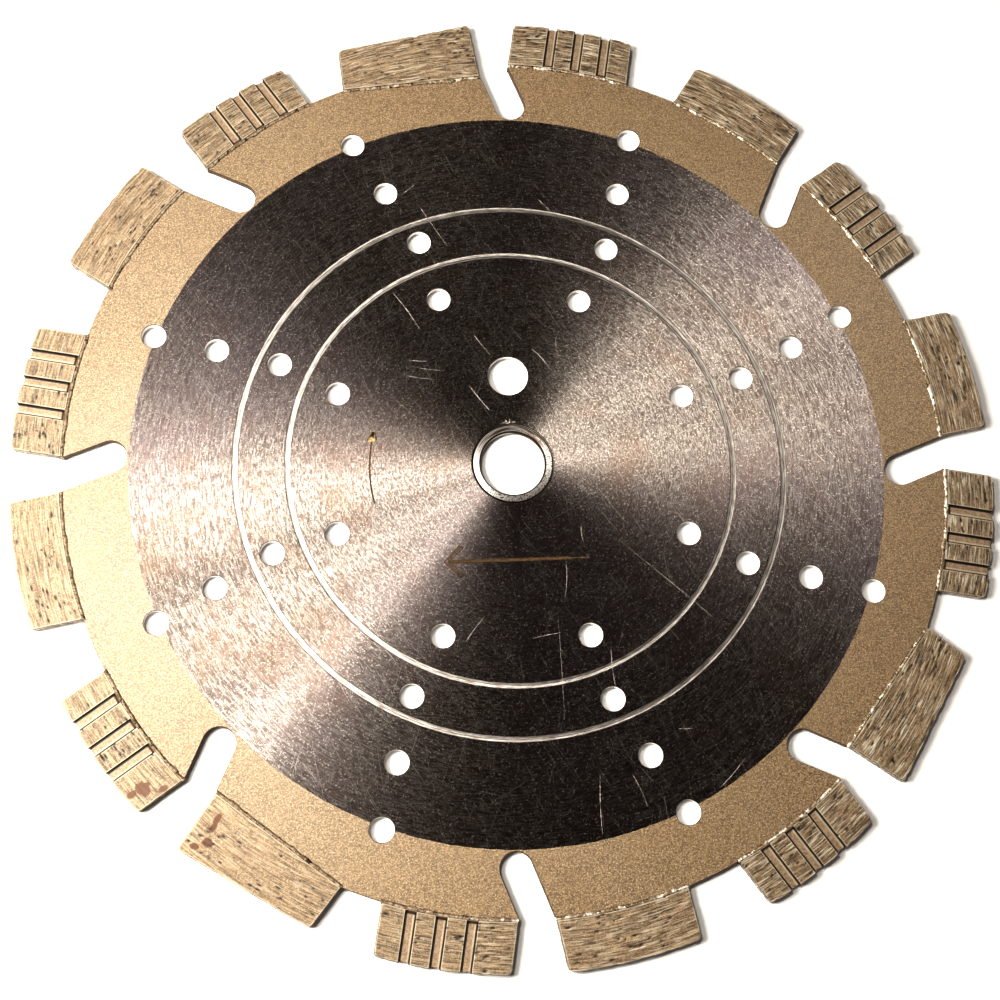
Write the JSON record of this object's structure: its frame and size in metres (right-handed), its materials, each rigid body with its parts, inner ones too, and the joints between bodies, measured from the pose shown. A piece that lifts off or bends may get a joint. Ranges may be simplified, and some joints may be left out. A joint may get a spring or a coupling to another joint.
{
  "type": "segmented diamond saw blade",
  "caption": "Round steel saw blade with laser-welded plain and grooved diamond segments, slanted gullets, spoke rows of cooling holes, a drive pin hole and a push-out reducer bushing.",
  "frame": {"origin": "centre of the arbor bore, at the blade's mid thickness", "axes": "+Z along the arbor bore, out of the marked face; +Y from the bore to the drive pin hole"},
  "size_m": [0.3044, 0.3044, 0.0032],
  "materials": {
    "core_steel": "circularly ground steel with fine scratches, and a blasted gold-painted band around the rim",
    "bushing_steel": "turned and chamfered steel",
    "flat_segment": "gold paint over rough, finely striated sintered metal",
    "turbo_segment": "gold paint over rough, finely striated sintered metal with smoother groove floors",
    "weld": "narrow rippled laser weld, part bare and part gold"
  },
  "bodies": {
    "blade": {"core": "core_steel", "seg_plain_1": "flat_segment", "seg_plain_2": "flat_segment", "seg_plain_3": "flat_segment", "seg_plain_4": "flat_segment", "seg_plain_5": "flat_segment", "seg_drop_1": "flat_segment", "seg_drop_2": "flat_segment", "seg_drop_3": "flat_segment", "seg_turbo_1": "turbo_segment", "seg_turbo_2": "turbo_segment", "seg_turbo_3": "turbo_segment", "seg_turbo_4": "turbo_segment", "seg_turbo_5": "turbo_segment", "seg_turbo_6": "turbo_segment", "seg_turbo_7": "turbo_segment", "seg_turbo_8": "turbo_segment", "weld_plain_1": "weld", "weld_plain_2": "weld", "weld_plain_3": "weld", "weld_plain_4": "weld", "weld_plain_5": "weld", "weld_drop_1": "weld", "weld_drop_2": "weld", "weld_drop_3": "weld", "weld_turbo_1": "weld", "weld_turbo_2": "weld", "weld_turbo_3": "weld", "weld_turbo_4": "weld", "weld_turbo_5": "weld", "weld_turbo_6": "weld", "weld_turbo_7": "weld", "weld_turbo_8": "weld"},
    "bushing": {"bushing": "bushing_steel"}
  },
  "joints": [
    {"name": "bushing_knockout", "type": "slide", "parent": "blade", "child": "bushing", "axis": [0, 0, 1], "range_m": [-0.006, 0.006]}
  ]
}
